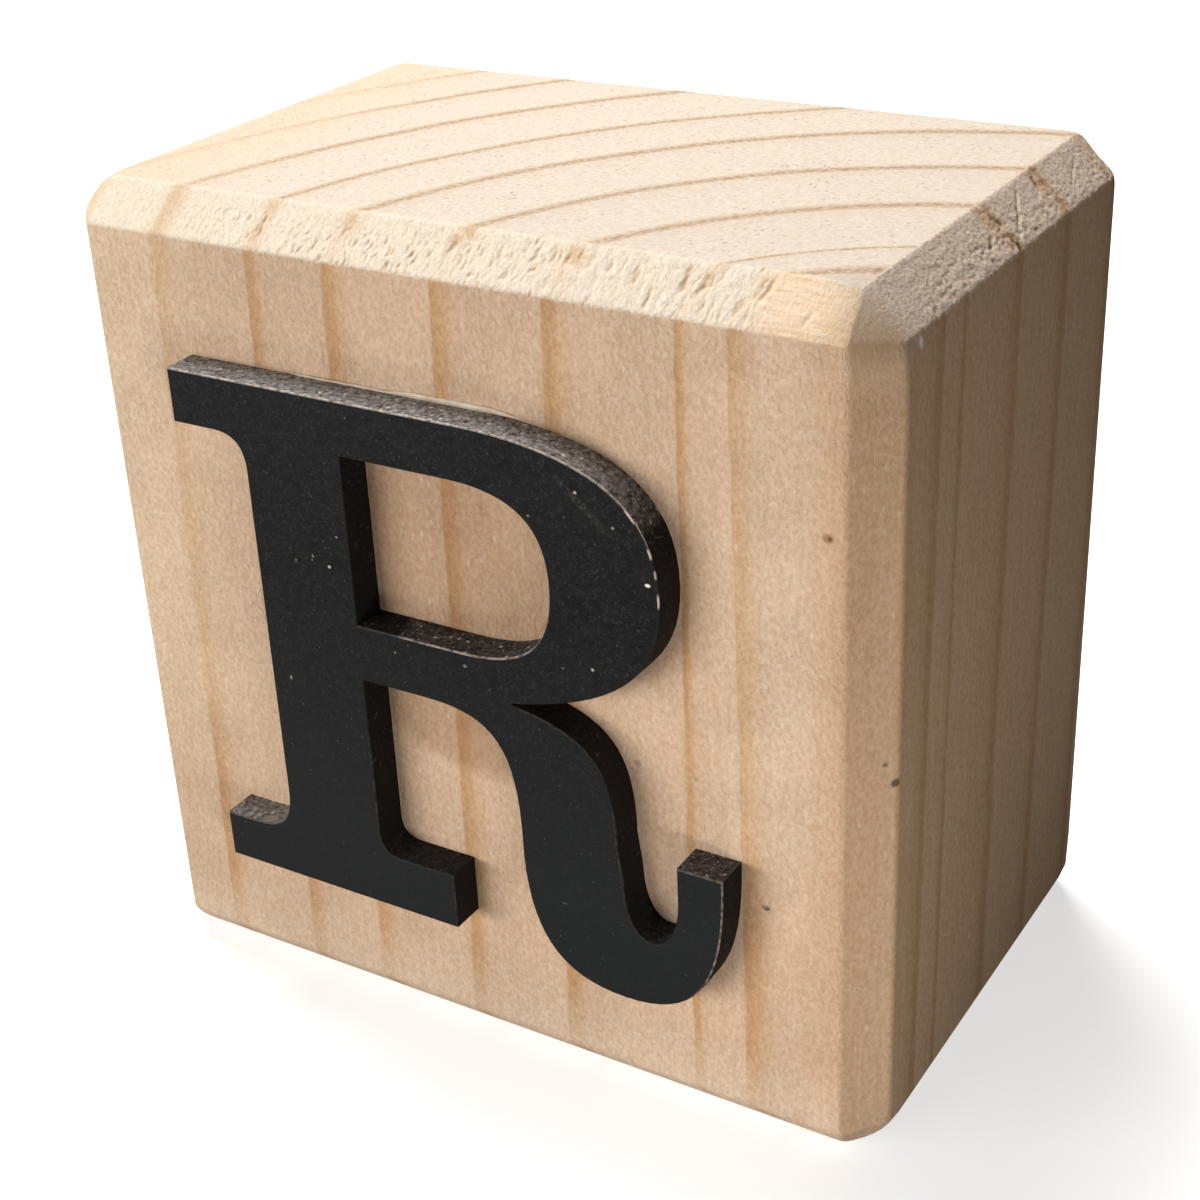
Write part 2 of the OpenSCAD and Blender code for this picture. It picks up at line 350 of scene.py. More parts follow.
def painted_lighter_parts(tree, pos, to_front, colour):
    """Paints light: lightens the upper left of the block, and the front in its upper right-hand part
    and all along its foot."""
    x, _, z = add(tree, "SeparateXYZ", {0: pos}).outputs
    upward = add(tree, "MapRange", {0: z, 1: 18.0, 2: 30.0})
    leftward = add(tree, "MapRange", {0: x, 1: -18.0, 2: -30.0, 3: 0.0, 4: 0.7},
                   interpolation_type="SMOOTHSTEP")
    # Painted light on the upper left
    upper_left = add(tree, "Math", {0: leftward, 1: upward}, operation="MULTIPLY")
    lighter_upper_left = add(tree, "MixRGB", {0: upper_left, 1: colour, 2: paint("#F4DBBC")})

    # Painted light on the front's upper right and all along its foot
    inward = add(tree, "MapRange", {0: x, 1: 21.0, 2: 25.0})
    off_edge = add(tree, "MapRange", {0: x, 1: 32.0, 2: 29.0})
    inner = add(tree, "Math", {0: inward, 1: off_edge}, operation="MULTIPLY")
    inner_up = add(tree, "Math", {0: inner, 1: upward}, operation="MULTIPLY")
    foot = add(tree, "MapRange", {0: z, 1: 9.0, 2: 4.0, 3: 0.0, 4: 1.6})
    pale = add(tree, "Math", {0: inner_up, 1: foot}, operation="MAXIMUM")
    on_front = add(tree, "MapRange", {0: to_front, 1: 0.75, 2: 0.95, 3: 0.0, 4: 0.32})
    share = add(tree, "Math", {0: pale, 1: on_front}, operation="MULTIPLY")
    return add(tree, "MixRGB", {0: share, 1: lighter_upper_left, 2: paint("#F1DCC4")})


def painted_letter_shade(tree, pos, colour):
    """Darkens, as painted shade, the wood seen through the letter's bowl and below its bar, which the
    letter shades.
    """
    for middle, wide, high in PAINTED_LETTER_SHADE:
        reach = oval(tree, pos, middle, (wide, 3, high))
        mask = add(tree, "MapRange", {0: reach, 1: 1.1, 2: 0.8}, interpolation_type="SMOOTHSTEP")
        colour = add(tree, "MixRGB", {0: mask, 1: colour, 2: paint("#E0D8CF")},
                     blend_type="MULTIPLY")
    return colour


def fibres(tree, pos, nap, endness, colour):
    """Lays the fibres of planed wood over a colour: long faint streaks, a short nap, pores in the
    end grain, a few brown hairlines and pale flecks. Real pores and fibres are about a tenth as
    wide, too fine to show. Also gives the mask of the pores."""
    streak_place = add(tree, "Mapping", {0: pos, "Scale": (1 / 0.5, 1 / 0.5, 1 / 9)})
    streak = add(tree, "TexNoise", {"Vector": streak_place, "Scale": 1, "Detail": 3})
    tint = add(tree, "ValToRGB", {0: streak}, stops=((0.3, "#F1E9E0"), (0.7, "#FFFFFF")))
    streaked = add(tree, "MixRGB", {0: 0.5, 1: colour, 2: tint}, blend_type="MULTIPLY")
    dapple = add(tree, "ValToRGB", {0: nap}, stops=((0.34, "#E6DACD"), (0.66, "#FFFFFF")))
    on_side = add(tree, "MapRange", {0: endness, 3: 0.9, 4: 0.5})
    dappled = add(tree, "MixRGB", {0: on_side, 1: streaked, 2: dapple}, blend_type="MULTIPLY")

    pores = specks(tree, pos, 0.6, 0.2, 0.5)
    flock = add(tree, "TexNoise", {"Vector": pos, "Scale": 1 / 4, "Detail": 2})
    crowding = add(tree, "MapRange", {0: flock, 1: 0.42, 2: 0.62, 3: 0.25, 4: 1.0})
    gathered = add(tree, "Math", {0: pores, 1: crowding}, operation="MULTIPLY")
    end_pores = add(tree, "Math", {0: gathered, 1: endness}, operation="MULTIPLY")
    pore_tone = add(tree, "Math", {0: end_pores, 1: 0.5}, operation="MULTIPLY")
    colour = add(tree, "MixRGB", {0: pore_tone, 1: dappled, 2: paint("#A08A74")})

    for squeeze, cell, radius, share, code in ((0.035, 1.3, 0.1, 0.12, "#A67F57"),
                                               (0.35, 0.8, 0.13, 0.6, "#FBEBD3")):
        stretched = add(tree, "Mapping", {0: pos, "Scale": (1, 1, squeeze)})
        lines = specks(tree, stretched, cell, radius, share)
        faint = add(tree, "Math", {0: lines, 1: 0.3}, operation="MULTIPLY")
        colour = add(tree, "MixRGB", {0: faint, 1: colour, 2: paint(code)})
    return colour, end_pores


def shaken(tree, pos):
    """The place pushed about by a fraction of a millimetre, which gives marks uneven edges."""
    smudge = add(tree, "TexNoise", {"Vector": pos, "Scale": 1 / 0.5, "Detail": 2})
    pushed = add(tree, "VectorMath", {0: smudge.outputs["Color"], 1: (0.35, 0.35, 0.35), 2: pos},
                 operation="MULTIPLY_ADD")
    return add(tree, "VectorMath", {0: pushed, 1: (0.18, 0.18, 0.18)}, operation="SUBTRACT")


def torn_grain(tree, pos, radius, year, along_side, tuft):
    """Torn grain on the cross-cut chamfers: cream tufts, browner on the latewood, and darker in the
    pits and the low parts of the tufts, which is painted shade. The rings smear out down the torn
    slope, and hardly show on it near the pith."""
    x, _, z = add(tree, "SeparateXYZ", {0: pos}).outputs
    pit = add(tree, "Attribute", attribute_name="pit").outputs["Fac"]
    # Painted shade: the deeper a pit, the browner it is painted
    front_pit_shade = add(tree, "ValToRGB", {0: pit}, stops=(
        (0.0, "#F1E3CE"), (0.3, "#E3CCAE"), (0.65, "#CFB08B"), (1.0, "#B68F66")))
    side_pit_shade = add(tree, "ValToRGB", {0: pit}, stops=(
        (0.0, "#FFEBD8"), (0.3, "#EAD1B6"), (0.6, "#BCA081"), (0.8, "#8F775C"), (1.0, "#78644C")))
    pit_shade = add(tree, "MixRGB", {0: along_side, 1: front_pit_shade, 2: side_pit_shade})
    # Painted shade: the low parts of the tufts' relief are painted darker
    tuft_shade = add(tree, "ValToRGB", {0: tuft}, stops=(
        (0.32, "#B9A086"), (0.46, "#EADED1"), (0.62, "#FFFFFF")))
    tuft_shade_share = add(tree, "MapRange", {0: along_side, 3: 0.4, 4: 0.7})
    tufted = add(tree, "MixRGB", {0: tuft_shade_share, 1: pit_shade, 2: tuft_shade}, blend_type="MULTIPLY")

    bands = add(tree, "ValToRGB", {0: year}, stops=(
        (0.00, "#FAF2E7"), (0.10, "#FFFFFF"), (0.76, "#FFFFFF"), (0.86, "#F3DFC7"),
        (0.94, "#E6CBAB"), (1.00, "#EFDDC6")))
    smear = add(tree, "TexNoise", {"Vector": pos, "Scale": 1 / 1.1, "Detail": 2})
    patchy = add(tree, "MapRange", {0: smear, 1: 0.38, 2: 0.6, 3: 0.1, 4: 1.0})
    lower = add(tree, "MapRange", {0: z, 1: TOP - 0.5, 2: TOP - 1.6, 3: 0.0, 4: 0.75})
    rightward = add(tree, "MapRange", {0: x, 1: -22.0, 2: -8.0})
    lost = add(tree, "Math", {0: lower, 1: rightward}, operation="MULTIPLY")
    remaining = add(tree, "Math", {0: 1.0, 1: lost}, operation="SUBTRACT")
    near_pith = add(tree, "MapRange", {0: radius, 1: 26.0, 2: 29.0})
    shown = add(tree, "MixRGB", {0: along_side, 1: remaining, 2: near_pith})
    steady = add(tree, "Math", {0: remaining, 1: 0.7}, operation="MULTIPLY")
    on_front = add(tree, "MixRGB", {0: rightward, 1: steady, 2: patchy})
    smeared = add(tree, "MixRGB", {0: along_side, 1: on_front, 2: patchy})
    blotch = add(tree, "Math", {0: smeared, 1: shown}, operation="MULTIPLY")
    return add(tree, "MixRGB", {0: blotch, 1: tufted, 2: bands}, blend_type="MULTIPLY")


def rubbed_wood(tree, pos, to_front, colour):
    """Rubs the front chamfer smooth and tan towards its right-hand end, and browns the corner
    there, partly as a stain from handling and partly as painted shade. Also gives the mask of that
    corner."""
    x = add(tree, "SeparateXYZ", {0: pos}).outputs["X"]
    edge_noise = add(tree, "TexNoise", {"Vector": pos, "Scale": 1 / 1.5, "Detail": 2})
    ragged_x = add(tree, "Math", {0: edge_noise, 1: 4.0, 2: x}, operation="MULTIPLY_ADD")
    rubbed = add(tree, "MapRange", {0: ragged_x, 1: 26.0, 2: 28.6})
    facing = add(tree, "MapRange", {0: to_front, 1: 0.45, 2: 0.6})
    rubbed_front = add(tree, "Math", {0: rubbed, 1: facing}, operation="MULTIPLY")
    scratch_place = add(tree, "Mapping", {0: pos, "Scale": (1 / 3, 1 / 0.3, 1 / 0.3)})
    scratch = add(tree, "TexNoise", {"Vector": scratch_place, "Scale": 1, "Detail": 3,
                                     "Distortion": 0.8})
    tan = add(tree, "ValToRGB", {0: scratch}, stops=(
        (0.3, "#E6C198"), (0.5, "#F0D3AF"), (0.7, "#F9E3C8")))
    smooth = add(tree, "MixRGB", {0: rubbed_front, 1: colour, 2: tan})

    # The corner's browner colour is partly stain and partly painted shade
    distance = add(tree, "VectorMath", {0: pos, 1: BROWNED_AND_SHADED}, operation="DISTANCE")
    at_corner = add(tree, "MapRange", {0: distance.outputs["Value"], 1: 4.2, 2: 1.6,
                                       3: 0.0, 4: 0.75})
    browned_and_shaded = add(tree, "MixRGB", {0: at_corner, 1: smooth, 2: paint("#CDA57D")})
    return browned_and_shaded, at_corner


def softwood():
    """Planed spruce: pale cream earlywood and tan latewood bands on the sides, thin ragged
    latewood lines on whiter end grain, and pale tufts where the saw tore the chamfers."""
    material, tree, pos = new_material("planed_softwood")
    normal = add(tree, "NewGeometry").outputs["Normal"]
    turn = add(tree, "VectorMath", {0: normal}, operation="ABSOLUTE")
    to_right, to_front, to_top = add(tree, "SeparateXYZ", {0: turn}).outputs
    endness = add(tree, "MapRange", {0: to_top, 1: 0.35, 2: 0.9}, interpolation_type="SMOOTHSTEP")
    along_side = add(tree, "Math", {0: to_right, 1: to_front}, operation="GREATER_THAN")
    torn = add(tree, "Attribute", attribute_name="torn").outputs["Fac"]
    radius, year = growth_rings(tree, pos)

    # Planed wood has a short nap. Torn wood has tufts that lie down the front slope and along the
    # other ones
    nap_place = add(tree, "Mapping", {0: pos, "Scale": (1 / 0.32, 1 / 0.32, 1 / 0.45)})
    nap = add(tree, "TexNoise", {"Vector": nap_place, "Scale": 1, "Detail": 4, "Roughness": 0.6,
                                 "Distortion": 0.3})
    lie = add(tree, "MixRGB", {0: along_side, 1: (1 / 0.13, 1 / 0.4, 1 / 0.4, 1),
                               2: (1 / 0.26, 1 / 0.36, 1 / 0.26, 1)})
    tuft_place = add(tree, "VectorMath", {0: pos, 1: lie}, operation="MULTIPLY")
    tuft = add(tree, "TexNoise", {"Vector": tuft_place, "Scale": 1, "Detail": 3, "Roughness": 0.6})

    sawn = sawn_wood(tree, pos, radius, year, to_right, endness)
    pale = painted_lighter_parts(tree, pos, to_front, sawn)
    planed, pores = fibres(tree, pos, nap, endness, painted_letter_shade(tree, pos, pale))
    bare = marks(tree, shaken(tree, pos), planed, WOOD_MARKS)
    tufted = torn_grain(tree, pos, radius, year, along_side, tuft)
    browned_and_shaded, at_corner = rubbed_wood(tree, pos, to_front, tufted)
    torn_or_corner = add(tree, "Math", {0: torn, 1: at_corner}, operation="MAXIMUM")
    colour = add(tree, "MixRGB", {0: torn_or_corner, 1: bare, 2: browned_and_shaded})

    # Relief in units of 0.09 mm: the nap, strongest on the front, less the pores, and the tufts
    # where the grain is torn
    worn = add(tree, "TexNoise", {"Vector": pos, "Scale": 1 / 6, "Detail": 1})
    uneven = add(tree, "MapRange", {0: worn, 1: 0.4, 2: 0.6, 3: 0.6, 4: 1.1})
    coarse = add(tree, "MapRange", {0: to_front, 1: 0.75, 2: 0.95, 3: 0.6, 4: 2.8})
    height = add(tree, "Math", {0: uneven, 1: coarse}, operation="MULTIPLY")
    raised = add(tree, "Math", {0: nap, 1: height}, operation="MULTIPLY")
    pitted = add(tree, "Math", {0: pores, 1: -0.4, 2: raised}, operation="MULTIPLY_ADD")
    fluff = add(tree, "MapRange", {0: along_side, 3: 0.5, 4: 0.6})
    torn_fluff = add(tree, "Math", {0: fluff, 1: torn}, operation="MULTIPLY")
    relief = add(tree, "Math", {0: tuft, 1: torn_fluff, 2: pitted}, operation="MULTIPLY_ADD")
    surface(tree, colour, roughness=0.68, relief=relief, depth=0.09)
    return material


# -------------------- paint, board and glue

def satin_paint():
    """Satin black paint on fibreboard: charcoal with a soft sheen, faintly mottled, with pale
    specks of dust where the fibres stood up."""
    material, tree, pos = new_material("satin_black_paint")
    mottle = add(tree, "TexNoise", {"Vector": pos, "Scale": 1 / 0.6, "Detail": 2})
    grains = add(tree, "TexNoise", {"Vector": pos, "Scale": 1 / 0.2, "Detail": 2, "Roughness": 0.6})
    base = add(tree, "ValToRGB", {0: mottle}, stops=((0.32, "#080A0B"), (0.68, "#161718")))
    # The lower half is a little greyer and smoother
    z = add(tree, "SeparateXYZ", {0: pos}).outputs["Z"]
    low = add(tree, "MapRange", {0: z, 1: 44.0, 2: 20.0})
    greyed = add(tree, "MixRGB", {0: low, 1: base, 2: paint("#1E2021")})
    grainy = add(tree, "MapRange", {0: grains, 1: 0.56, 2: 0.72, 3: 0.0, 4: 0.75})
    amount = add(tree, "MapRange", {0: low, 3: 1.0, 4: 0.35})
    grain_share = add(tree, "Math", {0: grainy, 1: amount}, operation="MULTIPLY")
    grained = add(tree, "MixRGB", {0: grain_share, 1: greyed, 2: paint("#3A3633")})

    # The scuff runs down to the right, in a thin broken streak
    offset = add(tree, "VectorMath", {0: pos, 1: SCUFF}, operation="SUBTRACT")
    turned = add(tree, "VectorRotate", {0: offset, "Angle": math.radians(SCUFF_SLOPE)},
                 rotation_type="Y_AXIS")
    reach = oval(tree, turned, (0, 0, 0), (3.4, 1, 0.45))
    near = add(tree, "MapRange", {0: reach, 1: 1.0, 2: 0.2, 3: 0.0, 4: 0.6})
    patchy = add(tree, "MapRange", {0: grains, 1: 0.35, 2: 0.6})
    scuffed = add(tree, "Math", {0: near, 1: patchy}, operation="MULTIPLY")
    rubbed = add(tree, "MixRGB", {0: scuffed, 1: grained, 2: paint("#46443F")})

    colour = marks(tree, pos, rubbed, PAINT_MARKS)
    for cell, radius, share, strength, code in ((0.8, 0.11, 0.4, 0.5, "#5E5A54"),
                                                (2.2, 0.13, 0.4, 0.8, "#8E857B")):
        dust = specks(tree, pos, cell, radius, share)
        faint = add(tree, "Math", {0: dust, 1: strength}, operation="MULTIPLY")
        colour = add(tree, "MixRGB", {0: faint, 1: colour, 2: paint(code)})
    relief = add(tree, "Math", {0: grains, 1: mottle}, operation="ADD")
    surface(tree, colour, roughness=0.6, relief=relief, depth=0.02, specular=0.14)
    return material


def scorched_board():
    """Laser-cut edge of fibreboard: charred near black, with grey dust and pale fibre ends on
    the parts that face up."""
    material, tree, pos = new_material("scorched_fibreboard")
    z = add(tree, "SeparateXYZ", {0: pos}).outputs["Z"]
    normal = add(tree, "NewGeometry").outputs["Normal"]
    upright = add(tree, "SeparateXYZ", {0: normal}).outputs["Z"]
    grit = add(tree, "TexNoise", {"Vector": pos, "Scale": 1 / 0.45, "Detail": 3, "Roughness": 0.7})
    cloud = add(tree, "TexNoise", {"Vector": pos, "Scale": 1 / 1.6, "Detail": 3})
    char = add(tree, "ValToRGB", {0: grit}, stops=((0.3, "#080504"), (0.7, "#18110C")))

    # How much dust lies on each ledge: foot, tail, bar and arm, by height; some nooks are left dark
    # as painted shade
    height = add(tree, "MapRange", {0: z, 1: BLOCK_LOW.z, 2: TOP})
    ledge = add(tree, "ValToRGB", {0: height}, stops=(
        (0.25, "#F4F4F4"), (0.30, "#909090"), (0.40, "#909090"), (0.55, "#8C8C8C"),
        (0.66, "#A0A0A0"), (0.76, "#FFFFFF")))
    # Painted shade: the nooks are kept dark char
    clear = away_from(tree, pos, PAINTED_SHADE_NOOKS, 0.08)
    level = add(tree, "MapRange", {0: upright, 1: 0.45, 2: 1.0})
    patchy = add(tree, "MapRange", {0: cloud, 1: 0.3, 2: 0.55, 3: 0.7, 4: 1.0})
    dust = add(tree, "Math", {0: level, 1: ledge}, operation="MULTIPLY")
    dust_unshaded = add(tree, "Math", {0: dust, 1: clear}, operation="MULTIPLY")
    dust_patchy = add(tree, "Math", {0: dust_unshaded, 1: patchy}, operation="MULTIPLY")
    powder = add(tree, "ValToRGB", {0: grit}, stops=((0.34, "#46413F"), (0.47, "#8E8A87"),
                                                     (0.56, "#A4A09D"), (0.68, "#DEDAD6")))
    dusty = add(tree, "MixRGB", {0: dust_patchy, 1: char, 2: powder})

    # Pale fibre ends, many on the ledges and hardly any on the walls or in the painted shade of the
    # nooks
    lit = add(tree, "MapRange", {0: upright, 1: 0.3, 2: 0.8, 3: 0.03, 4: 0.8})
    lit_unshaded = add(tree, "Math", {0: lit, 1: clear}, operation="MULTIPLY")
    colour = marks(tree, pos, dusty, BOARD_MARKS)
    for cell, radius, share, code in ((0.34, 0.12, 0.6, "#AFA9A3"), (0.9, 0.22, 0.5, "#F8F0E6")):
        ends = specks(tree, pos, cell, radius, share)
        shown = add(tree, "Math", {0: ends, 1: lit_unshaded}, operation="MULTIPLY")
        colour = add(tree, "MixRGB", {0: shown, 1: colour, 2: paint(code)})

    # Fine lines straight through the sheet, left by the beam
    line_place = add(tree, "Mapping", {0: pos, "Scale": (1 / 0.22, 1 / 4, 1 / 0.22)})
    lines = add(tree, "TexNoise", {"Vector": line_place, "Scale": 1, "Detail": 1})
    relief = add(tree, "Math", {0: lines, 1: grit}, operation="ADD")
    surface(tree, colour, roughness=0.85, relief=relief, depth=0.05, specular=0.25)
    return material


def worn_arris():
    """Front arris of the letter: black paint, rubbed through to pale fibreboard along the top
    edges, in short dashes down the right of the bowl and faintly down the tail."""
    material, tree, pos = new_material("worn_fibreboard_arris")
    x, _, z = add(tree, "SeparateXYZ", {0: pos}).outputs
    normal = add(tree, "NewGeometry").outputs["Normal"]
    right, _, up = add(tree, "SeparateXYZ", {0: normal}).outputs
    grit = add(tree, "TexNoise", {"Vector": pos, "Scale": 1 / 0.5, "Detail": 3})
    topside = add(tree, "MapRange", {0: up, 1: 0.25, 2: 0.55})
    rubbed = add(tree, "MapRange", {0: grit, 1: 0.3, 2: 0.5, 3: 0.4, 4: 0.95})
    top_rubbed = add(tree, "Math", {0: topside, 1: rubbed}, operation="MULTIPLY")
    higher = add(tree, "MapRange", {0: z, 1: 26.0, 2: 40.0, 3: 0.3, 4: 1.0})
    top_higher = add(tree, "Math", {0: top_rubbed, 1: higher}, operation="MULTIPLY")
    # Painted shade: the arris is kept dark in the nooks
    clear = away_from(tree, pos, PAINTED_SHADE_NOOKS, 0.1)
    top_wear = add(tree, "Math", {0: top_higher, 1: clear}, operation="MULTIPLY")

    rightside = add(tree, "MapRange", {0: right, 1: 0.15, 2: 0.4})
    broken = add(tree, "MapRange", {0: grit, 1: 0.42, 2: 0.6, 3: 0.1, 4: 0.35})
    tail = add(tree, "MapRange", {0: z, 1: 30.0, 2: 28.5, 3: 0.0, 4: 1.0})
    outer = add(tree, "MapRange", {0: x, 1: 20.5, 2: 21.5, 3: 0.12, 4: 1.0})
    tail_outer = add(tree, "Math", {0: tail, 1: outer}, operation="MULTIPLY")
    tail_broken = add(tree, "Math", {0: tail_outer, 1: broken}, operation="MULTIPLY")
    right_wear = add(tree, "Math", {0: rightside, 1: tail_broken}, operation="MULTIPLY")
    wear = add(tree, "Math", {0: top_wear, 1: right_wear}, operation="MAXIMUM")
    board = add(tree, "ValToRGB", {0: grit}, stops=((0.3, "#A6998B"), (0.62, "#F0E4D4")))
    worn = add(tree, "MixRGB", {0: wear, 1: paint("#121314"), 2: board})
    colour = marks(tree, pos, worn, ARRIS_MARKS)
    shader = add(tree, "BsdfPrincipled", {"Base Color": colour, "Roughness": 0.7,
                                          "Specular IOR Level": 0.3})
    add(tree, "OutputMaterial", {"Surface": shader})
    return material


def dried_glue():
    """Dried wood glue: cream, a little glossy, cloudy where it is thick."""
    material, tree, pos = new_material("dried_wood_glue")
    cloud = add(tree, "TexNoise", {"Vector": pos, "Scale": 1 / 1.2, "Detail": 3})
    colour = add(tree, "ValToRGB", {0: cloud}, stops=((0.35, "#DAC3A4"), (0.6, "#EEDFC9")))
    surface(tree, colour, roughness=0.35, relief=cloud, depth=0.08)
    return material


# -------------------- torn grain

def strokes(u, v, cell_u, cell_v, width, length, seed, lean=0.0):
    """Depth from 0 to 1 of short tears scattered one to a cell, long in v."""
    best = 0.0
    home_u, home_v = math.floor(u / cell_u), math.floor(v / cell_v)
    for i in (home_u - 1, home_u, home_u + 1):
        for j in (home_v - 1, home_v, home_v + 1):
            luck = noise.cell_vector(Vector((i + 0.5, j + 0.5, seed + 0.5)))
            dv = v - (j + 0.2 + 0.6 * luck.y) * cell_v
            du = u - (i + 0.2 + 0.6 * luck.x) * cell_u - ((luck.y - 0.5) * 0.5 + lean) * dv
            du, dv = du / width, dv / (length * (0.5 + 0.8 * luck.z))
            best = max(best, math.exp(-du * du - dv * dv) * max(0.0, 1.3 * luck.z - 0.2))
    return best


def gouge_depth(u, v, gouges):
    """Depth of the single deep tears, in millimetres."""
    depth = 0.0
    for place, up, wide, long, lean, deep in gouges:
        du = (u - place - lean * (v - up)) / wide
        dv = (v - up) / long
        depth = max(depth, deep * math.exp(-du * du - dv * dv))
    return depth


def ring_radius(p):
    """Distance of a point from the pith, with the lean of the rings taken out."""
    down = TOP - p.z
    x = p.x + LEAN_LEFT * share_between(p.x, LEAN_FROM, LEAN_FULL) * down
    y = p.y + LEAN_FORWARD * down
    return math.hypot(x - PITH.x, FLAT * (y - PITH.y))


# Both kinds of torn chamfer take the place along the chamfer, the place up its slope from its
# middle, and the distance from the pith. They give the depth of the grain, and the part of that
# depth which is open pits.

def front_tear(u, v, _radius):
    """Torn grain on the front chamfer: short leaning tears, coarser to the right, and rubbed
    smooth at its right-hand end."""
    dense = share_between(u, -30, -12)
    coarse = share_between(u, -2, 8)
    rubbed = share_between(u + 1.2 * noise.noise((v / 0.9, u / 2, 7)), 24.9, 26.6)
    bend = noise.noise_vector((u / 0.5, v / 0.6, 4)) * 0.18
    a, b = u + bend.x, v + 2 * bend.y
    patch = share_between(noise.noise((u / 2.2, v / 2.0, 12)), -0.3, 0.2)
    fine = strokes(a, b, 0.48, 0.9, 0.09, 0.3, 3, 0.25)
    long = strokes(a, b, 0.9, 1.6, 0.15, 0.5, 8, 0.25)
    hump = noise.noise((u / 0.7, v / 1.3, 9))
    ridge = noise.noise((u / 0.25, v / 0.7, 3)) + 1.4 * noise.noise((u / 1.5, v / 0.14, 17))
    pits = 0.18 * fine * (1 - 0.5 * coarse) + 0.13 * long * (0.5 + 0.5 * coarse)
    pits *= 0.35 + 0.65 * patch
    pits *= (0.2 + 0.8 * dense) * (1 - (1 - coarse) * share_between(v, 0.5, 1.4))
    pits += gouge_depth(a, b, FRONT_GOUGES)
    depth = 0.03 + 0.018 * ridge + dense * (0.03 + 0.035 * hump * (1 + coarse)) + pits
    smooth = 0.1 + 0.02 * ridge + gouge_depth(u, v, FRONT_GOUGES)
    return depth + (smooth - depth) * rubbed, pits * (1 - rubbed)


def side_tear(u, v, radius):
    """Torn grain on the other chamfers: long scratches above, crumbs and a ragged edge below, and
    cracks where two of the rings cross."""
    upper = share_between(v, -0.6, 0.9)
    calm = share_between(u, -19.0, -12.0)
    bend = noise.noise_vector((u / 0.9, v / 0.5, 4)) * 0.1
    a, b = u + 2 * bend.x, v + bend.y
    patch = share_between(noise.noise((u / 2.5, v / 1.2, 12)), -0.3, 0.2)
    chunks = strokes(b, a, 0.5, 0.8, 0.14, 0.24, 27)
    scored = noise.noise((a / 1.6, b / 0.14, 5))
    crumbs = noise.noise((a / 0.3, b / 0.26, 8))
    hump = noise.noise((u / 1.0, v / 0.6, 6))
    r = radius + 0.3 * noise.noise((u / 0.5, v / 0.5, 15))
    crack = math.exp(-((r - RINGS[3] + 0.35) / 0.36) ** 2) * share_between(v, 1.7, 0.6)
    crack += 0.35 * math.exp(-((r - RINGS[4] + 0.4) / 0.5) ** 2)
    crack *= share_between(noise.noise((u / 0.8, v / 0.8, 11)), -0.5, 0.1)
    bitten = max(0.0, noise.noise((u / 0.5, 4, 19))) * share_between(v, -1.0, -2.0)
    pits = 0.12 * chunks * (1 - upper) * (0.3 + 0.7 * patch) * calm
    pits += gouge_depth(a, b, SIDE_GOUGES)
    rough = 0.02 * scored * upper + 0.05 * crumbs * (1 - 0.6 * upper) + 0.035 * hump
    depth = 0.08 + rough * (0.3 + 0.7 * calm) + 0.3 * bitten + 0.12 * crack + pits
    return depth, max(pits, 0.22 * crack)


# -------------------- the block

# A chamfer round the top: the way it faces, a point on its middle, the axis that it runs along,
# how often its faces are split along and across it, and its kind of torn grain
Chamfer = namedtuple("Chamfer", "outward spot along cuts_along cuts_across tear")


def top_chamfers():
    """The front, back, left and right chamfers, split finest where they show most."""
    for axis, along, sign, cuts_along, cuts_across, tear in (
            (1, 0, -1, 14, 8, front_tear), (1, 0, 1, 2, 2, side_tear),
            (0, 1, -1, 2, 2, side_tear), (0, 1, 1, 7, 7, side_tear)):
        outward = Vector((0, 0, 1))
        outward[axis] = sign
        spot = BLOCK_MIDDLE.copy()
        spot[axis] += sign * (BLOCK_HALF[axis] - CHAMFER / 2)
        spot.z = TOP - CHAMFER / 2
        yield Chamfer(outward.normalized(), spot, along, cuts_along, cuts_across, tear)


def chamfered_box():
    """The sharp block, its edges chamfered and then its arrises softened."""
    bm = bmesh.new()
    bmesh.ops.create_cube(bm, size=1)
    bmesh.ops.scale(bm, vec=BLOCK_HIGH - BLOCK_LOW, verts=bm.verts)
    bmesh.ops.translate(bm, vec=BLOCK_MIDDLE, verts=bm.verts)
    for width, segments in ((CHAMFER, 1), (ARRIS, 3)):
        bmesh.ops.bevel(bm, geom=bm.edges[:], offset=width, affect="EDGES", segments=segments,
                        profile=0.5, material=-1)
    return bm


def steps(low, high, pitch):
    """Evenly spaced places from low to high, about pitch apart."""
    count = max(1, round((high - low) / pitch))
    return [low + (high - low) * i / count for i in range(count + 1)]


def cut_grid(bm):
    """Cuts the whole skin along planes across each axis, so that its faces become a grid."""
    for axis, pitch in enumerate(GRID):
        low, high = BLOCK_LOW[axis], BLOCK_HIGH[axis]
        places = steps(low + EDGE_CUTS[0], high - EDGE_CUTS[0], pitch)
        places += [low + inset for inset in EDGE_CUTS[1:]]
        places += [high - inset for inset in EDGE_CUTS[1:]]
        if axis == 2:
            places += [high - inset for inset in ARRIS_CUTS]
        direction = Vector((0, 0, 0))
        direction[axis] = 1
        for place in places:
            bmesh.ops.bisect_plane(bm, geom=bm.verts[:] + bm.edges[:] + bm.faces[:], dist=1e-4,
                                   plane_co=direction * place, plane_no=direction)


def refine(bm, chamfer):
    """Splits the faces of one chamfer finely, first along it and then across it."""
    for lengthwise, cuts in ((True, chamfer.cuts_along), (False, chamfer.cuts_across)):
        edges = set()
        for face in bm.faces:
            if (face.calc_center_median() - chamfer.spot).dot(chamfer.outward) < -SPLIT_REACH:
                continue
            for edge in face.edges:
                run = edge.verts[1].co - edge.verts[0].co
                is_lengthwise = abs(run[chamfer.along]) > 0.9 * run.length
                if is_lengthwise == lengthwise and run.length > SPLIT_LENGTH:
                    edges.add(edge)
        bmesh.ops.subdivide_edges(bm, edges=list(edges), cuts=cuts, use_grid_fill=True)


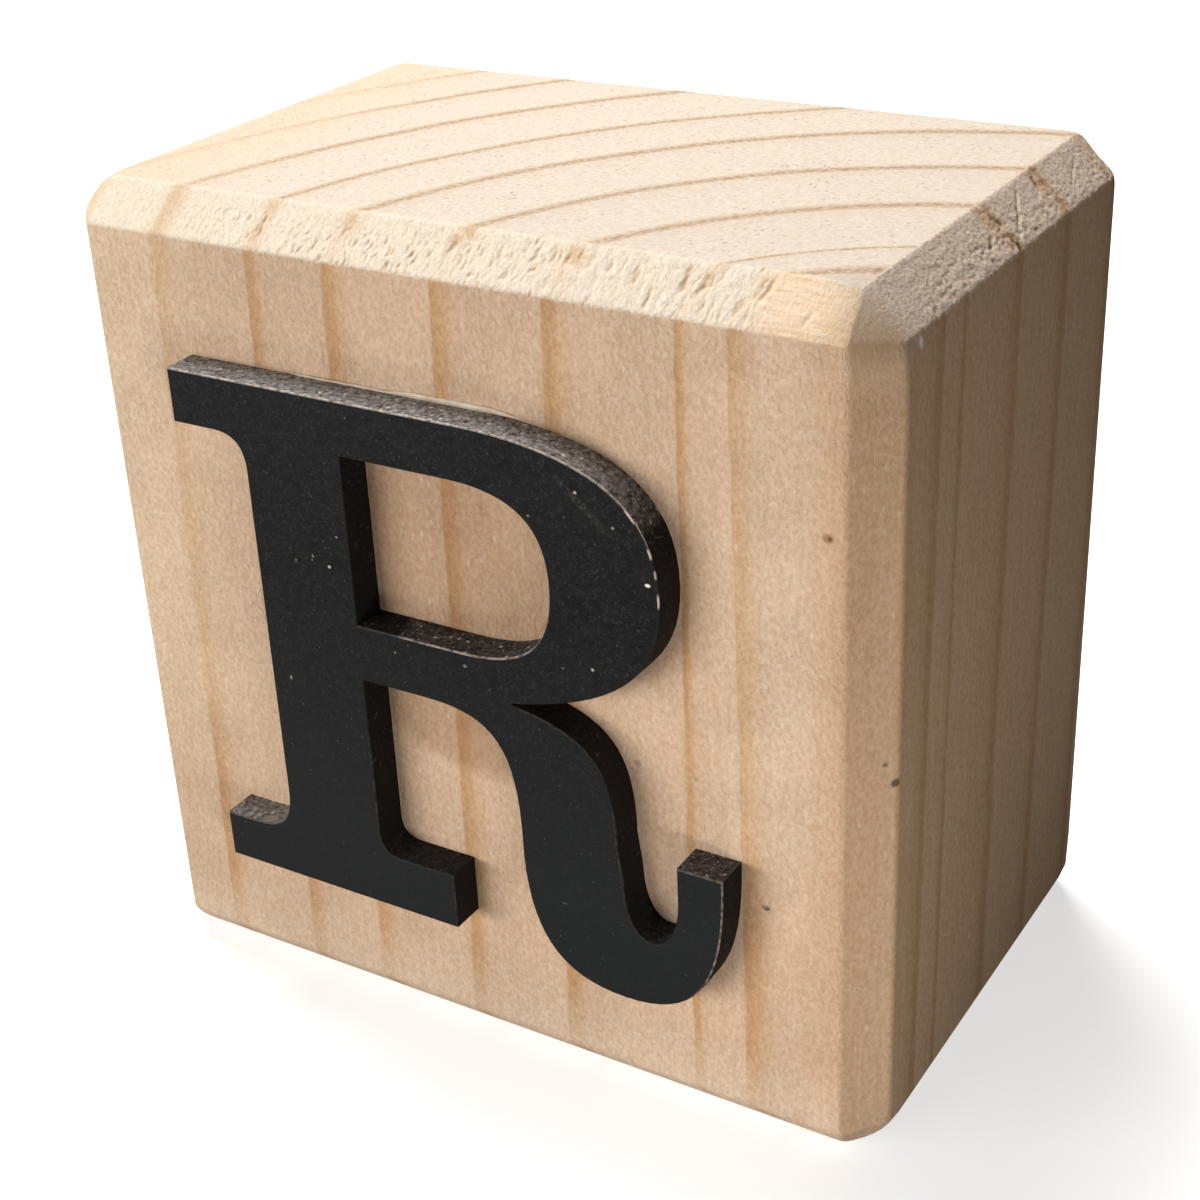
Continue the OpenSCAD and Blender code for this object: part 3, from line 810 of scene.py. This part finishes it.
def tear_grain(v, chamfer, torn_layer, pit_layer):
    """Sinks a vertex of a top chamfer into the torn grain, and notes how torn and how deep in a
    pit it is."""
    height = (v.co - chamfer.spot).dot(chamfer.outward)
    if height < -TEAR_REACH:
        return
    along = v.co[chamfer.along]
    end = BLOCK_HALF[chamfer.along]
    slope = (v.co.z - chamfer.spot.z) * math.sqrt(2)
    fade = share_between(abs(along), end, end - TEAR_END)
    depth, pits = chamfer.tear(along, slope, ring_radius(v.co))
    cut = height + depth * fade
    soft_cut = 0.5 * (cut + math.sqrt(cut * cut + TEAR_SOFTNESS))
    move = soft_cut if cut > -TEAR_SPARES else 0.0
    v.co -= chamfer.outward * move
    v[torn_layer] = max(v[torn_layer], share_between(cut, -0.12, -0.02))
    v[pit_layer] = max(v[pit_layer], share_between(pits * fade, 0.02, 0.26))


def taken_off(past, blend):
    """Depth sanded off a point this far past a rounded surface, running in softly."""
    return max(past, 0.0) if abs(past) > blend else (past + blend) ** 2 / (4 * blend)


def crown(p):
    """The move that makes a chamfer slightly round across, save the two torn ones on top and the
    two upright ones in front, which are flat."""
    move, near = Vector((0, 0, 0)), 0.0
    side = Vector([1 if p[i] > BLOCK_MIDDLE[i] else -1 for i in range(3)])
    inset = [(BLOCK_HALF[i] - abs(p[i] - BLOCK_MIDDLE[i])) / CHAMFER for i in range(3)]
    for a, b in ((0, 1), (0, 2), (1, 2)):
        torn = b == 2 and side.z > 0 and side[a] == (1, -1)[a]
        upright_in_front = b == 1 and side.y < 0
        part = share_between(inset[a] + inset[b], 1.5, 1.05)
        if part == 0 or torn or upright_in_front:
            continue
        across = min(1.0, abs(inset[a] - inset[b]))
        outward = Vector((0, 0, 0))
        outward[a], outward[b] = side[a], side[b]
        move += outward.normalized() * CROWN * part * (1 - across * across)
        near += part
    return move / max(1.0, near)


def sand(v):
    """Eases the corners, crowns the chamfers, and rounds the arris next to the rubbed corner."""
    ray = v.co - BLOCK_MIDDLE
    past = ray.length - CORNER_TIP
    taken = taken_off(past + CORNER_EASE, CORNER_BLEND)
    full, none = RUBBED_WITHIN
    rubbed = share_between((v.co - RUBBED_CORNER).length, none, full)
    taken += rubbed * (taken_off(past + RUBBED_EASE, RUBBED_BLEND) - taken)
    v.co -= ray.normalized() * taken
    v.co += crown(v.co)
    past_arris = (v.co - RUBBED_ARRIS).dot(RUBBED_TURN)
    taken = taken_off(past_arris + RUBBED_ARRIS_EASE, RUBBED_ARRIS_BLEND)
    v.co -= RUBBED_TURN * taken * share_between(v.co.x, *RUBBED_ARRIS_RUN)


def block_piece():
    """Sawn block: a box with its edges chamfered and eased, and its top chamfers torn."""
    bm = chamfered_box()
    cut_grid(bm)
    chamfers = list(top_chamfers())
    for chamfer in chamfers:
        refine(bm, chamfer)
    torn_layer = bm.verts.layers.float.new("torn")
    pit_layer = bm.verts.layers.float.new("pit")
    for v in bm.verts:
        for chamfer in chamfers:
            tear_grain(v, chamfer, torn_layer, pit_layer)
        sand(v)
    for f in bm.faces:
        f.smooth = True
    bmesh.ops.recalc_face_normals(bm, faces=bm.faces)
    return finish_piece("softwood_block", bm, [softwood()], "block")


# -------------------- the letter and the glue

def merged_copy(node):
    """A bmesh of a frame node in millimetres, its loose triangles merged into flat faces."""
    bm = bmesh.new()
    bm.from_mesh(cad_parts[node].data)
    bmesh.ops.scale(bm, vec=Vector((1 / MM,) * 3), verts=bm.verts)
    bmesh.ops.remove_doubles(bm, verts=bm.verts, dist=0.001)
    bmesh.ops.dissolve_limit(bm, angle_limit=math.radians(1), verts=bm.verts, edges=bm.edges)
    return bm


def letter_piece():
    """The cut-out letter, its front arris a little worn."""
    bm = merged_copy("letter_r")
    rim = [e for e in bm.edges if all(abs(v.co.y - LETTER_FRONT) < 0.01 for v in e.verts)
           and e.calc_face_angle(0) > 1.0]
    rounded = bmesh.ops.bevel(bm, geom=rim, offset=ARRIS_WEAR, affect="EDGES", segments=2,
                              profile=0.5, material=-1)
    for f in bm.faces:
        f.material_index = 0 if f.normal.y < -0.9 else 1
        f.smooth = abs(f.normal.y) < 0.9
    for f in rounded["faces"]:
        f.material_index = 2
        f.smooth = True
    for e in bm.edges:
        e.smooth = e.calc_face_angle(0) < math.radians(30)
    return finish_piece("cut_out_letter", bm, [satin_paint(), scorched_board(), worn_arris()],
                        "letter_r")


def glue_piece():
    """The dried line of glue along the top of the letter: a thin string, and where more was
    squeezed out a film with a raised rim above it."""
    low, high = (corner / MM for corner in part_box("glue_bead"))
    bm = bmesh.new()
    bmesh.ops.create_cube(bm, size=1)
    for axis, cuts in ((0, 120), (2, 9)):
        edges = [e for e in bm.edges if abs((e.verts[1].co - e.verts[0].co)[axis]) > 0.5]
        bmesh.ops.subdivide_edges(bm, edges=edges, cuts=cuts, use_grid_fill=True)
    for v in bm.verts:
        along, up = v.co.x + 0.5, v.co.z + 0.5
        x = low.x + along * (high.x - low.x)
        ends = share_between(min(x - low.x, high.x - x), 0.0, GLUE_TAPER)
        pool = share_between(x, *POOL_LEFT) * share_between(x, *POOL_RIGHT)
        waver = 0.05 * noise.noise((x / 0.8, 0, 2)) + 0.05 * noise.noise((x / 3.0, 0, 5))
        rise = (GLUE_STRING + waver + POOL_RISE * pool) * ends + 0.02
        rims = math.exp(-(up / 0.2) ** 2) + math.exp(-((up - 0.85) / 0.15) ** 2)
        thick = (0.02 + 0.13 * min(1.0, rims + 1 - pool) * ends) * min(1.0, 6 * (1 - up) + 0.1)
        v.co = (x, high.y - thick if v.co.y < 0 else high.y, low.z + up * rise)
    for f in bm.faces:
        f.smooth = True
    bmesh.ops.recalc_face_normals(bm, faces=bm.faces)
    return finish_piece("glue_line", bm, [dried_glue()], "glue_bead")


# -------------------- studio

def pale_floor():
    """Matt white paper: a plain pale ground that throws only a little light back at the block."""
    material, tree, pos = new_material("matt_paper")
    seen = add(tree, "LightPath").outputs["Is Camera Ray"]
    # Painted shade: the paper behind the block's right-hand side, where it isn't seen, throws back
    # almost no light, as if the block's own shade lay on it, and the paper farther right a little
    # more
    away = add(tree, "VectorMath", {0: pos, 1: (45, 16, 0)}, operation="DISTANCE")
    shaded = add(tree, "MapRange", {0: away.outputs["Value"], 1: 20.0, 2: 38.0})
    x = add(tree, "SeparateXYZ", {0: pos}).outputs["X"]
    rightward = add(tree, "MapRange", {0: x, 1: 34.0, 2: 64.0})
    ground = add(tree, "MixRGB", {0: rightward, 1: paint("#857D73"), 2: paint("#8C8378")})
    lit = add(tree, "MixRGB", {0: shaded, 1: paint("#0C0A08"), 2: ground})
    tone = add(tree, "MixRGB", {0: seen, 1: lit, 2: paint("#FFFFFF")})
    glow = add(tree, "Math", {0: seen, 1: 0.62}, operation="MULTIPLY")
    shader = add(tree, "BsdfPrincipled", {
        "Base Color": tone, "Roughness": 0.9, "Emission Color": (1, 1, 1, 1),
        "Emission Strength": glow})
    add(tree, "OutputMaterial", {"Surface": shader})
    return material


def add_floor():
    """A flat sheet of paper, 6 m square, on which the block stands."""
    bm = bmesh.new()
    bmesh.ops.create_grid(bm, x_segments=1, y_segments=1, size=3.0)
    mesh = bpy.data.meshes.new("floor")
    bm.to_mesh(mesh)
    bm.free()
    mesh.materials.append(pale_floor())
    floor = bpy.data.objects.new("floor", mesh)
    bpy.context.scene.collection.objects.link(floor)


def aim(obj, spot, target, roll=0.0):
    """Places a camera or a light and turns it towards a target, both in millimetres."""
    spot, target = Vector(spot) * MM, Vector(target) * MM
    turn = (target - spot).to_track_quat("-Z", "Y")
    obj.location = spot
    obj.rotation_mode = "QUATERNION"
    obj.rotation_quaternion = turn @ Quaternion((0, 0, 1), math.radians(roll))


def add_camera():
    """A slightly long lens, close to the block, above it and to its right."""
    camera = bpy.data.cameras.new("camera")
    camera.sensor_width = 36
    camera.lens = FOCAL_LENGTH
    camera.clip_start = 0.01
    obj = bpy.data.objects.new("camera", camera)
    bpy.context.scene.collection.objects.link(obj)
    aim(obj, CAMERA_SPOT, CAMERA_TARGET, roll=CAMERA_TILT)
    bpy.context.scene.camera = obj


def add_softbox(name, spot, size, watts):
    """A rectangular soft light that faces the middle of the block."""
    light = bpy.data.lights.new(name, "AREA")
    light.shape = "RECTANGLE"
    light.size, light.size_y = (s * MM for s in size)
    light.energy = watts
    obj = bpy.data.objects.new(name, light)
    bpy.context.scene.collection.objects.link(obj)
    aim(obj, spot, BLOCK_MIDDLE)


def add_world():
    """A dim even surround that lights the block, behind it plain white."""
    world = bpy.data.worlds.new("studio")
    bpy.context.scene.world = world
    world.use_nodes = True
    tree = world.node_tree
    tree.nodes.clear()
    seen = add(tree, "LightPath").outputs["Is Camera Ray"]
    level = add(tree, "MixRGB", {0: seen, 1: (0.043, 0.043, 0.045, 1), 2: (1, 1, 1, 1)})
    glow = add(tree, "Background", {"Color": level})
    add(tree, "OutputWorld", {"Surface": glow})


def add_studio():
    """The floor, the camera, the soft lights and the surround."""
    add_floor()
    add_camera()
    add_softbox("overhead_softbox", (-150, 100, 480), (240, 200), 2.8)
    add_softbox("front_softbox", (-260, -450, 50), (420, 180), 2.6)
    add_softbox("right_fill", (130, -330, 60), (90, 60), 0.1)
    add_softbox("low_fill", (84, -88, 6), (40, 12), 0.03)
    add_world()
    bpy.context.scene.view_settings.view_transform = "Standard"


add_studio()
block_piece()
letter_piece()
glue_piece()
